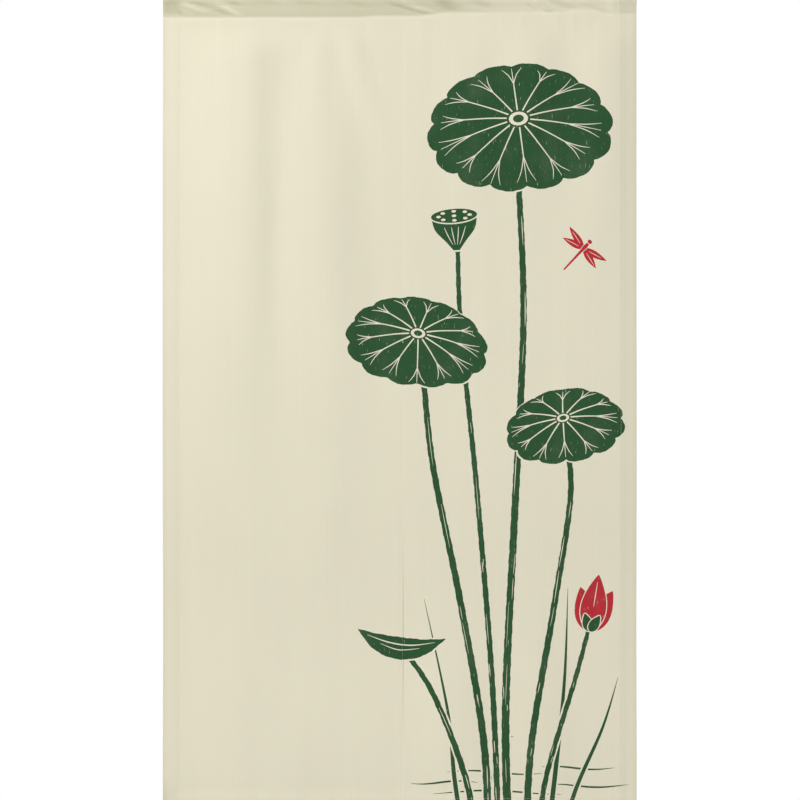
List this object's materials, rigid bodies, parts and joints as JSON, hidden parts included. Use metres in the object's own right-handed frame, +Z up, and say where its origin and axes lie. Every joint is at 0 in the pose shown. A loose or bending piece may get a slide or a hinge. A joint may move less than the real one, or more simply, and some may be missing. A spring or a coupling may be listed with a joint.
{
  "type": "noren curtain",
  "caption": "Doorway curtain of plain-woven ecru cloth: side-by-side panels, sewn together above and slit below, hang in soft folds from a rod pocket.",
  "frame": {"origin": "middle of the top edge, over the centre of the rod pocket", "axes": "+Z up along the drop, X along the width and the rod, -Y towards the viewer, out of the printed face"},
  "size_m": [0.85, 0.0371, 1.5],
  "materials": {
    "printed_cloth": "plain-woven slub cloth in ecru, matte, printed in dark green"
  },
  "bodies": {
    "root": {"panel_left": "printed_cloth", "panel_right": "printed_cloth"}
  },
  "joints": []
}
